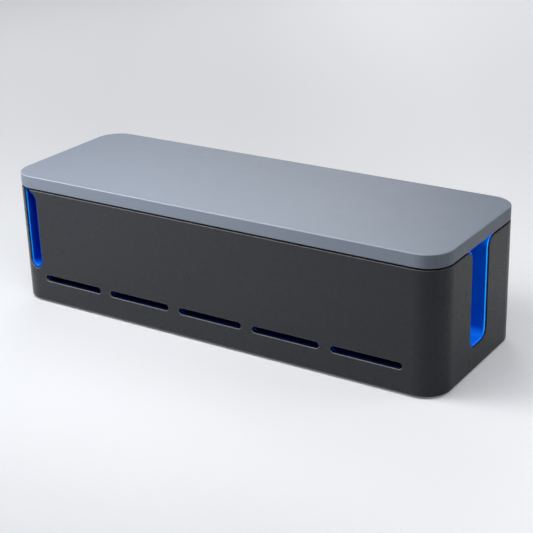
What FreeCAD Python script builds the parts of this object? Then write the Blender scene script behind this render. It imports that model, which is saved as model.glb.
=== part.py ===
import FreeCAD, Part
import math
import os

# Cable management box: a dark shell, a blue liner, two blue cable guides and a grey lid.
# Millimetres. X runs along the box, -Y is the front, Z = 0 is the table.

# Outside of the box
length = 400.0
width = 137.0
height = 113.0
corner_radius = 21.0
tightest_radius = 1.0

# Lid cover and the shadow line under it
lid_depth = 10.6
lid_wall = 2.4
lid_top_wall = 2.4
lid_edge_radius = 0.8
lid_lower_edge_radius = 0.5
shadow_gap = 1.5
shadow_depth = 1.5

# Outer shell
shell_wall = 2.4
shell_floor = 2.6
shell_foot_radius = 1.6
rebate_width = 0.8
rebate_depth = 1.5
floor_rib_height = 2.0
rib_thickness = 1.6
rib_clearance = 0.2
cross_rib_count = 5
cross_rib_end_inset = 88.0
slot_edge_radius = 0.5

# Inner tub
wall_space = 1.6
tub_wall = 2.0
tub_floor = 2.0
tub_foot_radius = 4.0
rim_clearance = 0.2
rail_height = 2.0
rail_width = 3.0
rail_end_inset = 50.0
rail_spread = 44.0

# Vents low in the front
vent_count = 5
vent_end_inset = 59.4
vent_gap = 10.3
vent_height = 5.5
vent_middle = 23.1
vent_chamfer = 0.4
vent_liner_margin = 0.9

# Slot in the right end, with flared shoulders
end_slot_width = 29.0
end_slot_offset = -1.5
end_slot_sill = 20.5
end_slot_foot_radius = 8.5
end_slot_shoulder_radius = 8.0

# Slot at the front-left corner, with a hooked mouth
front_slot_width = 13.8
front_slot_inset = 19.7
front_slot_sill = 30.2
front_slot_mouth = 7.2
front_slot_hook_radius = 9.5
front_slot_lip = 0.9

# Cable guides that line the slots
guide_wall = 1.6
guide_clearance = 0.4
guide_recess = 0.9
guide_depth = 20.0
guide_edge_radius = 0.9
guide_headroom = 0.4
guide_flange = 1.6
guide_flange_width = 3.0
snap_height = 12.0
snap_overhang = 0.5
snap_clearance = 0.2

# Lid frame
frame_clearance = 0.3
frame_web = 2.0
frame_width = 17.0
frame_lip = 1.8
frame_lip_depth = 4.0
frame_lip_clearance = 0.6
frame_lip_chamfer = 0.8
frame_notch_clearance = 0.8
frame_bar_width = 13.0

# Lid stiffening ribs
lid_rib_height = 4.0
lid_rib_count = 7
lid_rib_end_inset = 74.0
lid_rib_spread = 46.0

# Lid screws and their bosses
lid_screw_inset = 12.5
lid_screw_end_inset = 35.0
lid_screws_per_row = 4
lid_boss_radius = 3.6
lid_screw_radius = 1.4
lid_screw_length = 7.0
lid_head_radius = 2.9
lid_head_height = 2.0

# Tub screws and their bosses
tub_boss_radius = 4.2
tub_boss_height = 7.0
tub_screw_radius = 1.5
tub_screw_length = 8.5
tub_head_radius = 3.0
tub_head_height = 2.0

# What both kinds of screw share
thread_clearance = 0.1
hole_clearance = 0.3
tip_clearance = 0.5
drive_width = 0.8
drive_length = 3.0
drive_depth = 1.0
head_chamfer = 0.6

# Rubber feet
foot_radius = 8.0
foot_height = 2.2
foot_pocket_depth = 1.0
foot_pocket_clearance = 0.2
foot_inset_x = 30.0
foot_inset_y = 26.0
foot_chamfer = 0.7

# Share of half a rail's width that rounds its ends
round_end_share = 0.95

# How far every cut runs past what it cuts
overrun = 1.0

# Heights that follow
shell_bottom = foot_height - foot_pocket_depth
shell_floor_top = shell_bottom + shell_floor
tub_bottom = shell_floor_top + floor_rib_height
tub_floor_top = tub_bottom + tub_floor
lid_bottom = height - lid_depth
rim = lid_bottom - shadow_gap
lid_ceiling = height - lid_top_wall
frame_top = lid_bottom + frame_web

# Vent sizes that follow
vent_pitch = (length - 2 * vent_end_inset) / (vent_count - 1)
vent_length = vent_pitch - vent_gap

# Insets from the outer face that follow
tub_outside = shell_wall + wall_space
tub_inside = tub_outside + tub_wall
frame_lip_outside = tub_inside + frame_lip_clearance
frame_lip_inside = frame_lip_outside + frame_lip

up = FreeCAD.Vector(0, 0, 1)
centre = FreeCAD.Vector(0, 0, 0)


def point(across, z):
    """A point of a slot outline, drawn in the XZ plane."""
    return FreeCAD.Vector(across, 0, z)


def line(start, end):
    return Part.LineSegment(start, end).toShape()


def arc(middle, radius, first, last):
    """Arc about middle in the XZ plane, between two angles in degrees."""
    spots = []
    for angle in (first, (first + last) / 2, last):
        turn = math.radians(angle)
        spots.append(middle + FreeCAD.Vector(math.cos(turn), 0, math.sin(turn)) * radius)
    return Part.Arc(*spots).toShape()


def cylinder(radius, low, high, x, y):
    return Part.makeCylinder(radius, high - low, FreeCAD.Vector(x, y, low), up)


def slab(x_low, x_high, y_low, y_high, z_low, z_high):
    corner = FreeCAD.Vector(x_low, y_low, z_low)
    return Part.makeBox(x_high - x_low, y_high - y_low, z_high - z_low, corner)


def edges_at(shape, z):
    """The edges that lie wholly at one height."""
    flat = []
    for edge in shape.Edges:
        box = edge.BoundBox
        if max(abs(box.ZMin - z), abs(box.ZMax - z)) < tightest_radius / 1000:
            flat.append(edge)
    return flat


def spread(count, end_inset):
    """Even places along the box, the first and last one end_inset from its ends."""
    reach = length / 2 - end_inset
    return [reach * (2 * index / (count - 1) - 1) for index in range(count)]


def plan_block(inset, low, high):
    """Block with the box's rounded plan, drawn in by inset, between two heights."""
    half_x = length / 2 - inset
    half_y = width / 2 - inset
    block = slab(-half_x, half_x, -half_y, half_y, low, high)
    uprights = [edge for edge in block.Edges if edge.BoundBox.ZLength > (high - low) / 2]
    return block.makeFillet(max(corner_radius - inset, tightest_radius), uprights)


def plan_ring(outside, inside, low, high):
    """Ring that follows the plan between two insets."""
    return plan_block(outside, low, high).cut(plan_block(inside, low - overrun, high + overrun))


def end_slot_face(inset):
    """Outline of the end slot, drawn in by inset: a U whose shoulders flare out at the rim."""
    half = end_slot_width / 2 - inset
    sill = end_slot_sill + inset
    foot = end_slot_foot_radius - inset
    shoulder = end_slot_shoulder_radius + inset
    shoulder_across = end_slot_width / 2 + end_slot_shoulder_radius
    shoulder_z = rim - end_slot_shoulder_radius
    top = height + overrun
    edges = [
        line(point(-shoulder_across, top), point(-shoulder_across, shoulder_z + shoulder)),
        arc(point(-shoulder_across, shoulder_z), shoulder, 90, 0),
        line(point(-half, shoulder_z), point(-half, sill + foot)),
        arc(point(foot - half, sill + foot), foot, 180, 270),
        line(point(foot - half, sill), point(half - foot, sill)),
        arc(point(half - foot, sill + foot), foot, 270, 360),
        line(point(half, sill + foot), point(half, shoulder_z)),
        arc(point(shoulder_across, shoulder_z), shoulder, 180, 90),
        line(point(shoulder_across, shoulder_z + shoulder), point(shoulder_across, top)),
        line(point(shoulder_across, top), point(-shoulder_across, top)),
    ]
    return Part.Face(Part.Wire(edges))


def front_slot_face(inset):
    """Outline of the front slot, drawn in by inset: a round foot, and a hook over the mouth.

    The guide's walls end at the hook's tip, so that its mouth stays as wide as the shell's.
    """
    full = front_slot_width / 2
    half = full - inset
    mouth_edge = front_slot_mouth - full
    hook_x = full - front_slot_hook_radius
    hook_rise = math.sqrt(front_slot_hook_radius ** 2 - (mouth_edge - hook_x) ** 2)
    hook_z = rim - front_slot_lip - hook_rise
    tip = mouth_edge - min(inset, guide_clearance)
    hook_radius = front_slot_hook_radius - inset
    hook_angle = math.degrees(math.acos((tip - hook_x) / hook_radius))
    hook_end_z = hook_z + hook_radius * math.sin(math.radians(hook_angle))
    foot_z = front_slot_sill + full
    top = height + overrun
    edges = [
        line(point(-half, top), point(-half, foot_z)),
        arc(point(0, foot_z), half, 180, 360),
        line(point(half, foot_z), point(half, hook_z)),
        arc(point(hook_x, hook_z), hook_radius, 0, hook_angle),
        line(point(tip, hook_end_z), point(tip, top)),
        line(point(tip, top), point(-half, top)),
    ]
    return Part.Face(Part.Wire(edges))


# Each slot: its outline, where it sits along its wall, how far that wall is from the
# middle of the box, the turn that brings the front of the box to it, and its guide's top
end_slot = {
    "outline": end_slot_face,
    "across": end_slot_offset,
    "wall": length / 2,
    "turn": 90,
    "guide_top": lid_bottom - guide_headroom,
}
front_slot = {
    "outline": front_slot_face,
    "across": front_slot_inset - length / 2,
    "wall": width / 2,
    "turn": 0,
    "guide_top": rim - guide_headroom,
}


def slot_block(slot, inset, depth):
    """A slot outline swept through its wall, from depth inside the box to past the face."""
    block = slot["outline"](inset).extrude(FreeCAD.Vector(0, -(depth + overrun), 0))
    block.translate(FreeCAD.Vector(slot["across"], depth - slot["wall"], 0))
    block.rotate(centre, up, slot["turn"])
    return block


def slot_edges(shape, slot, inset, face_inset):
    """The edges where a slot, drawn in by inset, meets the outside drawn in by face_inset."""
    slot_wall = slot_block(slot, inset, corner_radius).Shells[0]
    outside = plan_block(face_inset, shell_bottom, height).Shells[0]
    found = []
    for edge in shape.Edges:
        middle = Part.Vertex(edge.valueAt((edge.FirstParameter + edge.LastParameter) / 2))
        spots = edge.Vertexes + [middle]
        if all(touches(spot, slot_wall) and touches(spot, outside) for spot in spots):
            found.append(edge)
    return found


def touches(spot, surface):
    return spot.distToShape(surface)[0] < tightest_radius / 1000


def vent_wire(margin, inset):
    """Round-ended outline of a vent, grown by margin, on a plane inset from the front face."""
    radius = vent_height / 2 + margin
    reach = (vent_length - vent_height) / 2
    edges = [
        line(point(-reach, vent_middle - radius), point(reach, vent_middle - radius)),
        arc(point(reach, vent_middle), radius, -90, 90),
        line(point(reach, vent_middle + radius), point(-reach, vent_middle + radius)),
        arc(point(-reach, vent_middle), radius, 90, 270),
    ]
    wire = Part.Wire(edges)
    wire.translate(FreeCAD.Vector(0, inset - width / 2, 0))
    return wire


def vent_block(margin, low_inset, high_inset):
    """Cut for one vent, grown by margin, between two depths behind the front face."""
    return Part.Face(vent_wire(margin, low_inset)).extrude(FreeCAD.Vector(0, high_inset - low_inset, 0))


def shell_vent():
    """Cut for a vent through the shell, with a chamfered outer edge."""
    outer_edge = Part.makeLoft([vent_wire(2 * vent_chamfer, -vent_chamfer),
                                vent_wire(0, vent_chamfer)], True, True)
    return vent_block(0, -overrun, shell_wall + overrun).fuse(outer_edge)


def moved(shape, x, y=0, z=0):
    copy = shape.copy()
    copy.translate(FreeCAD.Vector(x, y, z))
    return copy


def foot_places():
    """The four feet by name, with their centres."""
    x = length / 2 - foot_inset_x
    y = width / 2 - foot_inset_y
    return {
        "front_left": (-x, -y),
        "front_right": (x, -y),
        "rear_left": (-x, y),
        "rear_right": (x, y),
    }


def lid_screw_places():
    y = width / 2 - lid_screw_inset
    places = []
    for x in spread(lid_screws_per_row, lid_screw_end_inset):
        places += [(x, -y), (x, y)]
    return places


def outer_shell():
    """Dark tub: walls, floor, rim rebate, slots, vents, foot pockets and locating ribs."""
    block = plan_block(0, shell_bottom, rim)
    block = block.makeFillet(shell_foot_radius, edges_at(block, shell_bottom))
    shell = block.cut(plan_block(shell_wall, shell_floor_top, rim + overrun))
    rebate_inset = shell_wall - rebate_width
    shell = shell.cut(plan_block(rebate_inset, rim - rebate_depth, rim + overrun))
    shell = shell.fuse(floor_ribs() + wall_ribs() + foot_bosses())
    cuts = [slot_block(end_slot, 0, tub_inside + overrun)]
    cuts.append(slot_block(front_slot, 0, tub_inside + overrun))
    for x in spread(vent_count, vent_end_inset):
        cuts.append(moved(shell_vent(), x))
    for x, y in foot_places().values():
        cuts.append(foot_recess(x, y))
    shell = shell.cut(cuts).removeSplitter()
    slot_rims = slot_edges(shell, end_slot, 0, 0) + slot_edges(shell, front_slot, 0, 0)
    return shell.makeFillet(slot_edge_radius, slot_rims)


def floor_ribs():
    """Cross ribs that carry the liner's floor."""
    half = width / 2 - shell_wall
    reach = half - tub_foot_radius - wall_space
    ribs = []
    for x in spread(cross_rib_count, cross_rib_end_inset):
        ribs.append(slab(x - rib_thickness / 2, x + rib_thickness / 2, -reach, reach,
                         shell_floor_top - overrun, tub_bottom))
    return ribs


def wall_ribs():
    """Upright ribs between the vents, front and rear, that keep the liner centred."""
    outer = width / 2 - shell_wall + overrun
    inner = width / 2 - tub_outside + rib_clearance
    ribs = []
    for x in spread(vent_count - 1, vent_end_inset + vent_pitch / 2):
        for low, high in ((-outer, -inner), (inner, outer)):
            ribs.append(slab(x - rib_thickness / 2, x + rib_thickness / 2, low, high,
                             shell_floor_top - overrun, rim - rebate_depth - rib_clearance))
    return ribs


def foot_bosses():
    """Bosses over the feet that carry the liner's screws."""
    radius = tub_head_radius + hole_clearance + shell_floor
    return [cylinder(radius, shell_floor_top - overrun, tub_bottom, x, y)
            for x, y in foot_places().values()]


def foot_recess(x, y):
    """Foot pocket, screw-head recess above it and screw hole."""
    pocket_top = shell_bottom + foot_pocket_depth
    pocket = cylinder(foot_radius + foot_pocket_clearance, shell_bottom - overrun, pocket_top, x, y)
    head_top = pocket_top + tub_head_height
    head = cylinder(tub_head_radius + hole_clearance, pocket_top - overrun, head_top, x, y)
    hole = cylinder(tub_screw_radius + hole_clearance, head_top - overrun, tub_bottom + overrun, x, y)
    return pocket.fuse([head, hole])


def inner_tub():
    """Blue liner: thin tub with a rim flange, slots, vents and four screw bosses."""
    outside = plan_block(tub_outside, tub_bottom, rim)
    outside = outside.makeFillet(tub_foot_radius, edges_at(outside, tub_bottom))
    flange_inset = shell_wall - rebate_width + rim_clearance
    flange = plan_block(flange_inset, rim - rebate_depth, rim)
    inside = plan_block(tub_inside, tub_floor_top, rim + overrun)
    inner_radius = tub_foot_radius - tub_wall
    inside = inside.makeFillet(inner_radius, edges_at(inside, tub_floor_top))
    tub = outside.fuse(flange).cut(inside).fuse(tub_bosses() + strip_rails())
    cuts = [slot_block(end_slot, 0, tub_inside + overrun)]
    cuts.append(slot_block(front_slot, 0, corner_radius))
    for x in spread(vent_count, vent_end_inset):
        cuts.append(moved(vent_block(vent_liner_margin, shell_wall, tub_inside + overrun), x))
    pilot = tub_screw_radius + thread_clearance
    for x, y in foot_places().values():
        cuts.append(cylinder(pilot, tub_bottom - overrun, tub_screw_tip() + tip_clearance, x, y))
    return tub.cut(cuts).removeSplitter()


def tub_bosses():
    """Bosses inside the liner that take its screws."""
    low = tub_floor_top - tub_floor / 2
    high = tub_floor_top + tub_boss_height
    return [cylinder(tub_boss_radius, low, high, x, y) for x, y in foot_places().values()]


def strip_rails():
    """Two low rails with round ends that keep the power strip off the liner's floor."""
    rails = []
    reach = length / 2 - rail_end_inset
    for y in (-rail_spread / 2, rail_spread / 2):
        rail = slab(-reach, reach, y - rail_width / 2, y + rail_width / 2,
                    tub_floor_top - tub_floor / 2, tub_floor_top + rail_height)
        uprights = [edge for edge in rail.Edges if edge.BoundBox.ZLength > rail_height]
        rails.append(rail.makeFillet(rail_width / 2 * round_end_share, uprights))
    return rails


def tub_screw_tip():
    return shell_bottom + foot_pocket_depth + tub_head_height + tub_screw_length


def cable_guide(slot):
    """Channel that lines a slot, with a flange on the liner's inner face and snap ridges."""
    trim = plan_block(guide_recess, shell_bottom, slot["guide_top"])
    bore = slot_block(slot, guide_clearance + guide_wall, guide_depth + overrun)
    sleeve = slot_block(slot, guide_clearance, guide_depth).common(trim)
    flange_ring = plan_ring(tub_inside, tub_inside + guide_flange, shell_bottom, rim)
    flange = slot_block(slot, -guide_flange_width, corner_radius).common(flange_ring)
    middle = (end_slot_sill + rim) / 2
    snap_ring = plan_ring(shell_wall + snap_clearance, tub_outside,
                          middle - snap_height / 2, middle + snap_height / 2)
    snap = slot_block(slot, -snap_overhang, corner_radius).common(snap_ring)
    guide = sleeve.fuse([flange, snap]).cut(bore).removeSplitter()
    mouth = slot_edges(guide, slot, guide_clearance + guide_wall, guide_recess)
    return guide.makeFillet(guide_edge_radius, mouth)


def lid_cover():
    """Grey cap: flat top, short skirt, stiffening ribs and screw bosses."""
    block = plan_block(0, lid_bottom, height)
    block = block.makeFillet(lid_edge_radius, edges_at(block, height))
    block = block.makeFillet(lid_lower_edge_radius, edges_at(block, lid_bottom))
    cover = block.cut(plan_block(lid_wall, lid_bottom - overrun, lid_ceiling))
    bosses = [cylinder(lid_boss_radius, frame_top, lid_ceiling + lid_top_wall / 2, x, y)
              for x, y in lid_screw_places()]
    cover = cover.fuse(lid_ribs() + bosses)
    pilot = lid_screw_radius + thread_clearance
    tip = lid_bottom + lid_screw_length + tip_clearance
    cover = cover.cut([cylinder(pilot, frame_top - overrun, tip, x, y)
                       for x, y in lid_screw_places()])
    return cover.removeSplitter()


def lid_ribs():
    """Grid of ribs under the lid's top."""
    low = lid_ceiling - lid_rib_height
    high = lid_ceiling + lid_top_wall / 2
    half = rib_thickness / 2
    reach_x = length / 2 - lid_wall - frame_width
    reach_y = width / 2 - lid_wall - frame_width
    ribs = []
    for x in spread(lid_rib_count, lid_rib_end_inset):
        ribs.append(slab(x - half, x + half, -reach_y, reach_y, low, high))
    for y in (-lid_rib_spread / 2, lid_rib_spread / 2):
        ribs.append(slab(-reach_x, reach_x, y - half, y + half, low, high))
    return ribs


def lid_frame():
    """Dark ring inside the lid: web, seat on the liner's rim, locating lip and cross bars."""
    web_outside = lid_wall + frame_clearance
    web = plan_ring(web_outside, web_outside + frame_width, lid_bottom, frame_top)
    seat = plan_ring(shadow_depth, frame_lip_inside, rim, lid_bottom)
    lip = frame_locating_lip()
    frame = web.fuse([seat, lip] + frame_bars())
    cuts = [end_notch(), front_notch()]
    hole = lid_screw_radius + hole_clearance
    for x, y in lid_screw_places():
        cuts.append(cylinder(hole, rim - overrun, frame_top + overrun, x, y))
        cuts.append(cylinder(lid_head_radius + hole_clearance, rim - overrun, lid_bottom, x, y))
    return frame.cut(cuts).removeSplitter()


def frame_locating_lip():
    """The lip that drops inside the liner, with a chamfered lead-in."""
    low = rim - frame_lip_depth
    block = plan_block(frame_lip_outside, low, rim + shadow_gap / 2)
    block = block.makeChamfer(frame_lip_chamfer, edges_at(block, low))
    return block.cut(plan_block(frame_lip_inside, low - overrun, rim + shadow_gap))


def frame_bars():
    """Cross bars between the front and rear webs, at the middle screws."""
    reach = width / 2 - lid_wall - frame_width
    bars = []
    for x in spread(lid_screws_per_row, lid_screw_end_inset)[1:-1]:
        bars.append(slab(x - frame_bar_width / 2, x + frame_bar_width / 2, -reach, reach,
                         lid_bottom, frame_top))
    return bars


def end_notch():
    """Gap in the seat and lip over the end slot, so that cords and the guide clear them."""
    half = end_slot_width / 2 + end_slot_shoulder_radius + frame_notch_clearance
    return slab(length / 2 - guide_depth - overrun, length / 2 + overrun,
                end_slot_offset - half, end_slot_offset + half,
                rim - frame_lip_depth - overrun, lid_bottom)


def front_notch():
    """Gap in the lip over the front guide."""
    half = front_slot_width / 2 + guide_flange_width + frame_notch_clearance
    return slab(front_slot["across"] - half, front_slot["across"] + half,
                -width / 2, guide_depth + frame_notch_clearance - width / 2,
                rim - frame_lip_depth - overrun, rim)


def pan_head_screw(radius, shank, head_radius, head_height):
    """Screw that points up from a head whose top face is at Z = 0."""
    head = Part.makeCylinder(head_radius, head_height, FreeCAD.Vector(0, 0, -head_height), up)
    head = head.makeChamfer(head_chamfer, edges_at(head, -head_height))
    for turn in (0, 90):
        slot = slab(-drive_length / 2, drive_length / 2, -drive_width / 2, drive_width / 2,
                    -head_height - overrun, drive_depth - head_height)
        slot.rotate(centre, up, turn)
        head = head.cut(slot)
    thread = Part.makeCylinder(radius, shank, centre, up)
    thread = thread.makeChamfer(radius / 2, edges_at(thread, shank))
    return head.fuse(thread).removeSplitter()


def lid_screws():
    screw = pan_head_screw(lid_screw_radius, lid_screw_length, lid_head_radius, lid_head_height)
    return Part.makeCompound([moved(screw, x, y, lid_bottom) for x, y in lid_screw_places()])


def tub_screws():
    screw = pan_head_screw(tub_screw_radius, tub_screw_length, tub_head_radius, tub_head_height)
    seat = shell_bottom + foot_pocket_depth + tub_head_height
    return Part.makeCompound([moved(screw, x, y, seat) for x, y in foot_places().values()])


def foot():
    """Round rubber foot with a chamfered lower edge, its centre at X = Y = 0."""
    disc = cylinder(foot_radius, 0, foot_height, 0, 0)
    return disc.makeChamfer(foot_chamfer, edges_at(disc, 0))


def build():
    """Every node by name."""
    nodes = {
        "outer_shell": outer_shell(),
        "inner_tub": inner_tub(),
        "end_cable_guide": cable_guide(end_slot),
        "front_cable_guide": cable_guide(front_slot),
        "lid_cover": lid_cover(),
        "lid_frame": lid_frame(),
        "lid_screws": lid_screws(),
        "tub_screws": tub_screws(),
    }
    for name, (x, y) in foot_places().items():
        nodes["foot_" + name] = moved(foot(), x, y)
    return nodes


os.makedirs("parts", exist_ok=True)
for name, shape in build().items():
    shape.exportStep("parts/" + name + ".step")
    print(name, "solids", len(shape.Solids), "valid", shape.isValid(), "volume", round(shape.Volume))
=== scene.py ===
import math

import bpy
from mathutils import Matrix, Vector


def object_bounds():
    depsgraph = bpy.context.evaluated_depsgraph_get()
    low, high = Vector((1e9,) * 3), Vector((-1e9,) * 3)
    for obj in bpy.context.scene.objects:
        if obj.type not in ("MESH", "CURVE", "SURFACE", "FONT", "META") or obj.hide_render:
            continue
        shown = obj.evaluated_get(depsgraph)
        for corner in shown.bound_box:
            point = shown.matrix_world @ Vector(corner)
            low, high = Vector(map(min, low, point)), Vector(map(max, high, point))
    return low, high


# Looks of the cable management box: moulded plastics, rubber feet, zinc screws, camera and studio.
# Metres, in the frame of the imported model. X runs along the box, -Y is the front.

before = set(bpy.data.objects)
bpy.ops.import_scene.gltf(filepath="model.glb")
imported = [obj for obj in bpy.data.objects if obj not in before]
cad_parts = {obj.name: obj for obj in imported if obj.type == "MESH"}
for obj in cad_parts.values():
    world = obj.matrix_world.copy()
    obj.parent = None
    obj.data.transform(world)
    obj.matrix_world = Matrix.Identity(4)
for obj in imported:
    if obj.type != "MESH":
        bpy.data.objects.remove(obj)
cad_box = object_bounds()


def paint(red, green, blue):
    """Colour written as it shows on a screen, turned to linear light."""
    channels = []
    for value in (red, green, blue):
        share = value / 255
        if share > 0.04045:
            channels.append(((share + 0.055) / 1.055) ** 2.4)
        else:
            channels.append(share / 12.92)
    return (*channels, 1.0)


# Camera
camera_place = Vector((0.5630, -0.8312, 0.4560))
camera_yaw = math.radians(33.62)
camera_pitch = math.radians(22.39)
camera_roll = math.radians(-1.78)
focal_pixels = 1318.2
image_pixels = 533
sensor_width = 36.0

# Softboxes: where each stands, what it points at, its width and height, and its power in watts
lamps = {
    "back_softbox": ((-0.872, 1.292, 0.96), (0.0, 0.0, 0.10), (0.80, 0.80), 1.97),
    "high_back_softbox": ((-0.75, 1.05, 1.25), (0.0, 0.0, 0.10), (0.62, 0.62), 3.3),
    "left_back_softbox": ((-1.10, 0.50, 0.75), (-0.10, 0.0, 0.10), (0.62, 0.62), 0.78),
    "top_back_softbox": ((0.0, 0.50, 1.20), (0.0, 0.0, 0.10), (0.80, 0.80), 1.05),
    "left_softbox": ((-1.099, -0.634, 0.652), (0.0, 0.0, 0.06), (0.71, 0.71), 6.5),
    "left_top_softbox": ((-0.388, -0.388, 1.238), (0.0, 0.0, 0.06), (0.71, 0.71), 2.65),
    "front_top_strip": ((-0.15, -0.25, 0.50), (-0.10, -0.05, 0.10), (0.60, 0.25), 0.44),
    "front_near_strip": ((-0.12, -0.16, 0.30), (-0.10, -0.06, 0.10), (0.40, 0.06), 0.19),
    "front_long_strip": ((0.0, -0.20, 0.50), (0.0, -0.10, 0.10), (1.00, 0.15), 1.15),
    "back_floor_strip": ((0.0, 1.60, 0.90), (0.0, 1.30, 0.0), (1.60, 0.50), 0.94),
    "right_softbox": ((1.017, 0.297, 0.293), (0.20, 0.0, 0.06), (0.30, 0.30), 0.8),
}

# Softboxes that light only the blue pieces, so that they glow as in the photo
guide_lamps = {
    "guide_low": ((0.807, -0.509, 0.171), (0.20, 0.0, 0.06), (0.25, 0.25), 1.1),
    "guide_side": ((0.926, -0.264, 0.267), (0.20, 0.0, 0.06), (0.25, 0.25), 3.1),
    "guide_high": ((0.746, -0.146, 0.626), (0.20, 0.0, 0.06), (0.25, 0.25), 2.75),
}

# Softboxes that light only the box, and show in its gloss
gloss_lamps = {
    "front_left_softbox": ((-0.40, -0.55, 0.18), (-0.10, -0.06, 0.06), (0.30, 0.30), 0.85),
}

# Softboxes that light only the box, and show in no gloss
box_lamps = {
    "rear_fill": ((0.30, 1.20, 0.35), (0.0, 0.07, 0.05), (0.80, 0.40), 2.5),
}

# Softboxes that light only the floor
floor_lamps = {
    "right_floor_fill": ((0.50, 0.18, 0.50), (0.36, 0.16, 0.0), (0.25, 0.25), 0.50),
    "front_floor_fill": ((0.50, -0.12, 0.45), (0.38, -0.12, 0.0), (0.20, 0.20), 0.15),
}

# Tone of the room to the eye, which lights nothing
room_tint = (0.93, 0.96, 1.0, 1.0)
room_tone = 0.77

# Shell: its tone, the painted highlight along its edges, and the painted shade behind its outer skin on
# the long walls, up to their corners
shell_tone = paint(56, 58, 63)
shell_edge_highlight = paint(140, 142, 148)
shell_painted_shade = paint(20, 21, 24)
shell_skin = 0.0006
shell_corner = 0.030
corner_fade = 0.005

# Lid, liner and lid frame: their tones, and the painted highlights along their edges
lid_tone = paint(137, 147, 163)
lid_edge_highlight = paint(168, 178, 193)
liner_tone = paint(0, 34, 110)
liner_edge_highlight = paint(5, 50, 145)
lid_frame_tone = paint(26, 27, 29)
lid_frame_edge_highlight = paint(34, 35, 38)

# Blue guides: their tones, with painted light, a painted highlight and painted shade, and the tint,
# strength and spread of their reflections
guide_wall = paint(0, 69, 196)
guide_painted_light = paint(12, 121, 255)
guide_painted_highlight = paint(30, 180, 255)
guide_painted_shade = paint(0, 36, 110)
sky_tint = (0.02, 0.45, 1.0, 1.0)
guide_shine = 0.15
guide_gloss = (0.22, 0.34)
guide_grain = 0.1
guide_mottle = 0.12

# Spans over which a guide's walls turn upwards to painted light, into painted shade and to a painted
# highlight
painted_light_turn = (0.1, 0.9)
painted_shade_turn = (0.08, 0.3)
painted_highlight_turn = (-0.28, -0.45)

# Screws and feet: their tones, gloss and grain
zinc_dark = (0.42, 0.43, 0.46, 1.0)
zinc_light = (0.66, 0.67, 0.69, 1.0)
zinc_gloss = (0.25, 0.45)
zinc_grain = 0.3
rubber_dark = (0.012, 0.012, 0.013, 1.0)
rubber_light = (0.035, 0.035, 0.036, 1.0)
rubber_dust = (0.07, 0.07, 0.07, 1.0)
rubber_edge = 0.0006
rubber_gloss = (0.7, 0.9)
rubber_grain = 0.4

# Features per metre of each noise
cloud_scale = 11.0
grain_scale = 1500.0
smear_scale = 55.0
guide_cloud_scale = 40.0
spangle_scale = 900.0
speck_scale = 1100.0
sweep_scale = 0.8

# Spans of a noise that spread a tone, a gloss and the grains
tone_span = (0.3, 0.7)
gloss_span = (0.25, 0.75)
grain_span = (0.35, 0.75)

# Grains and clouds of moulded plastic: contrast of the grains, and height of the clouds beside them
grain_contrast = 3
cloud_height = 2.0

# Depth that a bump stands for
bump_depth = 0.0002
zinc_bump_depth = 0.0001

# Sharp edges: where the cosine of a bevel's turn counts. Rounded ones: slopes where they begin and end
sharp_turn = (0.995, 0.90)
rounding_start = (0.1, 0.35)
rounding_end = (0.85, 0.98)
bevel_samples = 6

# Floor: half its width, its gloss, the light that it throws back, and the share of its pale tone and glow
# that its reflections show, dimmed there as painted shade
floor_reach = 6.0
floor_roughness = 0.9
floor_shine = 0.1
floor_dim = (0.95, 0.97, 1.0)
floor_bounce = 0.38
floor_mirror = 0.5

# Painted light on the floor: its tones at the left and right of the picture, lighter to the right, the way
# to its right, and the clouds among them
floor_left = paint(227, 229, 233)
floor_right = paint(241, 242, 246)
to_right = (0.833, 0.553, 0.0)
tone_spread = 0.2
sweep_share = 0.1

# Painted light on the floor: its glow to the eye, near the box, further out, and the share added to the
# right
floor_glow = 0.145
glow_start = 0.3
glow_end = 3.5
glow_growth = 6.2
right_glow_end = 0.25
right_glow = 0.6


def shade(colour, factor):
    """The same colour, lighter or darker."""
    return (*[channel * factor for channel in colour[:3]], 1.0)


def add(tree, kind, inputs=None, **settings):
    """New node, whose inputs are set to values or joined to sockets."""
    node = tree.nodes.new("ShaderNode" + kind)
    for name, value in settings.items():
        setattr(node, name, value)
    for name, value in (inputs or {}).items():
        if isinstance(value, bpy.types.NodeSocket):
            tree.links.new(value, node.inputs[name])
        else:
            node.inputs[name].default_value = value
    return node


def math_node(tree, operation, first, second):
    """Socket of a sum, product or the like of two values or sockets."""
    return add(tree, "Math", {0: first, 1: second}, operation=operation).outputs[0]


def dot_product(tree, first, second):
    """Socket of the dot product of two vectors or sockets."""
    return add(tree, "VectorMath", {0: first, 1: second}, operation="DOT_PRODUCT").outputs["Value"]


def blend_colours(tree, factor, first, second):
    """Socket of a colour between two colours or sockets."""
    mix = add(tree, "Mix", {0: factor, 6: first, 7: second}, data_type="RGBA")
    return mix.outputs[2]


def stretch(tree, value, low, high, new_low=0.0, new_high=1.0):
    """Socket that moves a value from one range to another, held at its ends."""
    spread = {"Value": value, "From Min": low, "From Max": high, "To Min": new_low, "To Max": new_high}
    return add(tree, "MapRange", spread).outputs[0]


def noise(tree, place, scale, detail=2.0, roughness=0.5):
    """Socket of a noise whose features are about 1 / scale metres."""
    look = {"Vector": place, "Scale": scale, "Detail": detail, "Roughness": roughness}
    return add(tree, "TexNoise", look).outputs[0]


def set_bump(tree, shader, height, strength, depth=bump_depth):
    """Makes a shader's surface rise and fall with a height."""
    bump = add(tree, "Bump", {"Height": height, "Strength": strength, "Distance": depth})
    tree.links.new(bump.outputs[0], shader.inputs["Normal"])


def object_place(tree):
    """Socket of the place in the object's own metres."""
    return add(tree, "TexCoord").outputs["Object"]


def facing(tree):
    """Sockets X, Y and Z of the way that the surface faces."""
    normal = add(tree, "TexCoord").outputs["Normal"]
    return add(tree, "SeparateXYZ", {0: normal}).outputs


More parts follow.
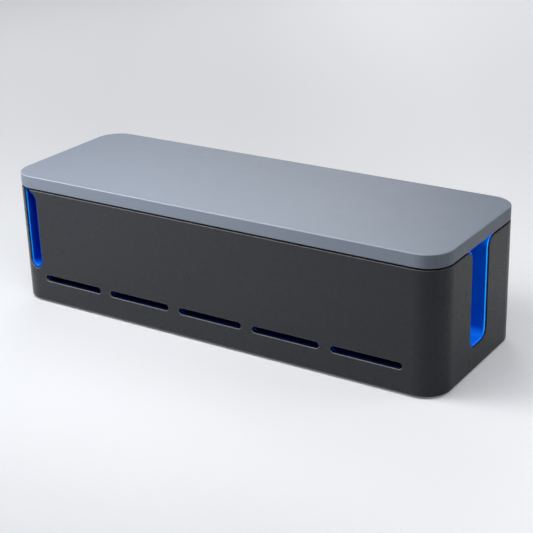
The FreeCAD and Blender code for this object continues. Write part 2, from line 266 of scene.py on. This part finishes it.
def new_material(name):
    """Empty material with its shader, and the tree to build in."""
    material = bpy.data.materials.new(name)
    material.use_nodes = True
    tree = material.node_tree
    tree.nodes.clear()
    shader = add(tree, "BsdfPrincipled")
    output = add(tree, "OutputMaterial")
    tree.links.new(shader.outputs[0], output.inputs["Surface"])
    return material, tree, shader


def sharp_edges(tree, reach):
    """Socket that is 1 along sharp edges and 0 away from them."""
    rounded = add(tree, "Bevel", {"Radius": reach}, samples=bevel_samples).outputs[0]
    flat = add(tree, "NewGeometry").outputs["Normal"]
    return stretch(tree, dot_product(tree, rounded, flat), *sharp_turn)


def rounded_edges(tree):
    """Socket that is 1 where the surface turns from level to upright, as a moulded edge does."""
    slope = math_node(tree, "ABSOLUTE", facing(tree)["Z"], 0.0)
    rising = stretch(tree, slope, *rounding_start)
    level = stretch(tree, slope, *rounding_end)
    return math_node(tree, "SUBTRACT", rising, level)


def edge_mask(tree, reach, rounding=1.0):
    """Socket that is 1 on sharp edges and reaches the given share on rounded ones."""
    rounded = math_node(tree, "MULTIPLY", rounded_edges(tree), rounding)
    return math_node(tree, "MAXIMUM", sharp_edges(tree, reach), rounded)


def inside_walls(tree):
    """Socket that is 1 behind the outer skin of the long walls, up to their corners."""
    half_length, half_depth = cad_box[1][:2]
    straight = half_length - shell_corner
    place = add(tree, "SeparateXYZ", {0: object_place(tree)}).outputs
    along = math_node(tree, "ABSOLUTE", place["X"], 0.0)
    deep = math_node(tree, "ABSOLUTE", place["Y"], 0.0)
    along_wall = stretch(tree, along, straight, straight - corner_fade)
    under_skin = stretch(tree, deep, half_depth - shell_skin, half_depth - 2 * shell_skin)
    return math_node(tree, "MULTIPLY", along_wall, under_skin)


def moulded_plastic(name, colour, edge_highlight, roughness, shine, grain, mottle,
                    smear=0.06, reach=0.0007, rounding=1.0):
    """Moulded plastic with a fine grain, cloudy tone, uneven gloss and a painted highlight along its
    edges.
    """
    material, tree, shader = new_material(name)
    place = object_place(tree)
    clouds = noise(tree, place, cloud_scale, detail=3.0)
    grains = noise(tree, place, grain_scale, roughness=0.6)
    smears = noise(tree, place, smear_scale, detail=4.0, roughness=0.6)
    cloud_mask = stretch(tree, clouds, *tone_span)
    cloudy = blend_colours(tree, cloud_mask, shade(colour, 1 - mottle), shade(colour, 1 + mottle))
    grain_mask = stretch(tree, grains, *grain_span)
    grainy = blend_colours(tree, grain_mask, cloudy, shade(colour, 1 + grain_contrast * mottle))
    # Painted highlight: a lighter tone along sharp and rounded edges
    edge_highlighted = blend_colours(tree, edge_mask(tree, reach, rounding), grainy, edge_highlight)
    tree.links.new(edge_highlighted, shader.inputs["Base Color"])
    gloss = stretch(tree, smears, *gloss_span, roughness - smear, roughness + smear)
    tree.links.new(gloss, shader.inputs["Roughness"])
    shader.inputs["Specular IOR Level"].default_value = shine
    height = math_node(tree, "ADD", grains, math_node(tree, "MULTIPLY", clouds, cloud_height))
    set_bump(tree, shader, height, grain)
    return material


def paint_shade_inside(material):
    """Paints shade into the tone of a shell's material behind its outer skin, inside its walls and vents.
    """
    tree = material.node_tree
    colour = tree.nodes["Principled BSDF"].inputs["Base Color"]
    outer = colour.links[0].from_socket
    tree.links.new(blend_colours(tree, inside_walls(tree), outer, shell_painted_shade), colour)


def glossy_plastic(name):
    """Bright blue plastic, with painted light where it faces up, a painted highlight on the rims that turn
    to the light, and painted shade on the other rims.
    """
    material, tree, shader = new_material(name)
    place = object_place(tree)
    clouds = noise(tree, place, guide_cloud_scale, detail=3.0)
    grains = noise(tree, place, grain_scale, roughness=0.6)
    mottling = stretch(tree, clouds, *tone_span, 0.0, guide_mottle)
    cloudy = blend_colours(tree, mottling, guide_wall, guide_painted_light)
    sides = facing(tree)
    # Painted light where a guide faces up, then painted shade and a painted highlight on its rims, by the
    # way each faces
    rising = blend_colours(tree, stretch(tree, sides["Z"], *painted_light_turn), cloudy, guide_painted_light)
    turn = math_node(tree, "MULTIPLY", sides["X"], sides["Y"])
    rim_shaded = blend_colours(tree, stretch(tree, turn, *painted_shade_turn), rising, guide_painted_shade)
    lighter = blend_colours(tree, stretch(tree, turn, *painted_highlight_turn), rim_shaded, guide_painted_highlight)
    tree.links.new(lighter, shader.inputs["Base Color"])
    tree.links.new(stretch(tree, clouds, *gloss_span, *guide_gloss), shader.inputs["Roughness"])
    shader.inputs["Specular IOR Level"].default_value = guide_shine
    shader.inputs["Specular Tint"].default_value = sky_tint
    set_bump(tree, shader, grains, guide_grain)
    return material


def zinc_steel(name):
    """Zinc-plated steel with a mottled tone and gloss."""
    material, tree, shader = new_material(name)
    spangle = noise(tree, object_place(tree), spangle_scale, detail=3.0)
    tree.links.new(blend_colours(tree, spangle, zinc_dark, zinc_light), shader.inputs["Base Color"])
    shader.inputs["Metallic"].default_value = 1.0
    tree.links.new(stretch(tree, spangle, *tone_span, *zinc_gloss), shader.inputs["Roughness"])
    set_bump(tree, shader, spangle, zinc_grain, zinc_bump_depth)
    return material


def foot_rubber(name):
    """Black rubber, dull, with a bloom of dust on its edges."""
    material, tree, shader = new_material(name)
    specks = noise(tree, object_place(tree), speck_scale, detail=3.0, roughness=0.6)
    tone = blend_colours(tree, specks, rubber_dark, rubber_light)
    dusty = blend_colours(tree, edge_mask(tree, rubber_edge), tone, rubber_dust)
    tree.links.new(dusty, shader.inputs["Base Color"])
    tree.links.new(stretch(tree, specks, *tone_span, *rubber_gloss), shader.inputs["Roughness"])
    set_bump(tree, shader, specks, rubber_grain)
    return material


def dress(names, material):
    """Gives a material to CAD nodes."""
    for name in names:
        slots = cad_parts[name].data.materials
        slots.clear()
        slots.append(material)


def dress_box():
    """Gives each CAD node its material."""
    shell = moulded_plastic(
        "charcoal_plastic", shell_tone, shell_edge_highlight, roughness=0.27, shine=0.30, grain=0.10, mottle=0.03,
        smear=0.02, reach=0.0004, rounding=0.45)
    # Painted shade inside the shell's walls and vents
    paint_shade_inside(shell)
    lid = moulded_plastic(
        "slate_plastic", lid_tone, lid_edge_highlight, roughness=0.38, shine=0.5, grain=0.20, mottle=0.02)
    liner = moulded_plastic(
        "liner_plastic", liner_tone, liner_edge_highlight, roughness=0.35, shine=0.3, grain=0.15, mottle=0.04)
    lid_frame = moulded_plastic(
        "frame_plastic", lid_frame_tone, lid_frame_edge_highlight, roughness=0.55, shine=0.3, grain=0.3, mottle=0.06)
    dress(["outer_shell"], shell)
    dress(["lid_cover"], lid)
    dress(["inner_tub"], liner)
    dress(["end_cable_guide", "front_cable_guide"], glossy_plastic("guide_plastic"))
    dress(["lid_frame"], lid_frame)
    dress(["lid_screws", "tub_screws"], zinc_steel("zinc_steel"))
    feet = [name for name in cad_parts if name.startswith("foot_")]
    dress(feet, foot_rubber("foot_rubber"))


def floor_glow_strength(tree, across):
    """Socket of the floor's painted glow, which grows away from the box and to the right of the picture.
    """
    away = add(tree, "VectorMath", {0: object_place(tree)}, operation="LENGTH").outputs["Value"]
    outwards = stretch(tree, away, glow_start, glow_end, 1.0, glow_growth)
    rightwards = stretch(tree, across, 0.0, right_glow_end, 0.0, right_glow)
    return math_node(tree, "MULTIPLY", math_node(tree, "ADD", outwards, rightwards), floor_glow)


def floor_material(name):
    """Pale floor, brighter to the eye than the light that it throws back, with painted light in a tone and
    glow that grow to the right and away from the box.
    """
    material, tree, shader = new_material(name)
    rays = add(tree, "LightPath").outputs
    mirrored = math_node(tree, "MULTIPLY", rays["Is Glossy Ray"], floor_mirror)
    seen = math_node(tree, "MAXIMUM", rays["Is Camera Ray"], mirrored)
    across = dot_product(tree, object_place(tree), to_right)
    clouds = noise(tree, object_place(tree), sweep_scale, detail=1.0)
    sweep = math_node(tree, "MULTIPLY", clouds, sweep_share)
    # Painted light: the floor's tone grows lighter to the right
    tone = math_node(tree, "ADD", stretch(tree, across, -tone_spread, tone_spread), sweep)
    pale = blend_colours(tree, tone, floor_left, floor_right)
    dim = shade(floor_dim, floor_bounce)
    tree.links.new(blend_colours(tree, seen, dim, pale), shader.inputs["Base Color"])
    tree.links.new(pale, shader.inputs["Emission Color"])
    glow = math_node(tree, "MULTIPLY", seen, floor_glow_strength(tree, across))
    tree.links.new(glow, shader.inputs["Emission Strength"])
    shader.inputs["Roughness"].default_value = floor_roughness
    shader.inputs["Specular IOR Level"].default_value = floor_shine
    return material


def build_floor():
    """Square floor that the box stands on."""
    mesh = bpy.data.meshes.new("studio_floor")
    corners = [(-1, -1), (1, -1), (1, 1), (-1, 1)]
    mesh.from_pydata([(x * floor_reach, y * floor_reach, 0.0) for x, y in corners], [], [(0, 1, 2, 3)])
    mesh.materials.append(floor_material("studio_floor"))
    floor = bpy.data.objects.new("studio_floor", mesh)
    bpy.context.scene.collection.objects.link(floor)
    return floor


def build_lamp(name, place, aim, size, power):
    """Softbox at a place, turned to what it points at."""
    light = bpy.data.lights.new(name, "AREA")
    light.shape = "RECTANGLE"
    light.size, light.size_y = size
    light.energy = power
    lamp = bpy.data.objects.new(name, light)
    lamp.visible_camera = False
    lamp.location = place
    towards = Vector(aim) - Vector(place)
    lamp.rotation_euler = towards.to_track_quat("-Z", "Y").to_euler()
    bpy.context.scene.collection.objects.link(lamp)
    return lamp


def build_linked_lamps(looks, lit, shown=False):
    """Lamps that light only the given objects, and show in their gloss or not."""
    for name, look in looks.items():
        lamp = build_lamp(name, *look)
        lamp.visible_glossy = shown
        lamp.light_linking.receiver_collection = bpy.data.collections.new(name + "_lit")
        for thing in lit:
            lamp.light_linking.receiver_collection.objects.link(thing)


def build_lamps(floor):
    """Softboxes for all, and those for the blue pieces, the box and the floor alone."""
    for name, look in lamps.items():
        build_lamp(name, *look)
    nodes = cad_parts
    blue_pieces = [nodes[name] for name in ("end_cable_guide", "front_cable_guide", "inner_tub")]
    build_linked_lamps(guide_lamps, blue_pieces)
    build_linked_lamps(gloss_lamps, nodes.values(), shown=True)
    build_linked_lamps(floor_lamps, [floor])
    build_linked_lamps(box_lamps, nodes.values())


def build_room():
    """Even pale tone all round, for the eye alone."""
    world = bpy.data.worlds.new("studio_room")
    bpy.context.scene.world = world
    world.use_nodes = True
    tree = world.node_tree
    tree.nodes.clear()
    rays = add(tree, "LightPath").outputs
    seen = math_node(tree, "MULTIPLY", rays["Is Camera Ray"], room_tone)
    background = add(tree, "Background", {"Color": room_tint, "Strength": seen})
    output = add(tree, "OutputWorld")
    tree.links.new(background.outputs[0], output.inputs["Surface"])


def build_camera():
    """Camera at the photo's angle."""
    data = bpy.data.cameras.new("camera")
    data.sensor_width = sensor_width
    data.lens = focal_pixels / image_pixels * sensor_width
    camera = bpy.data.objects.new("camera", data)
    upright = Matrix.Rotation(math.pi / 2 - camera_pitch, 4, "X")
    turned = Matrix.Rotation(camera_yaw, 4, "Z") @ upright @ Matrix.Rotation(camera_roll, 4, "Z")
    camera.matrix_world = Matrix.Translation(camera_place) @ turned
    bpy.context.scene.collection.objects.link(camera)
    bpy.context.scene.camera = camera


dress_box()
build_lamps(build_floor())
build_room()
build_camera()
bpy.context.scene.view_settings.view_transform = "Standard"
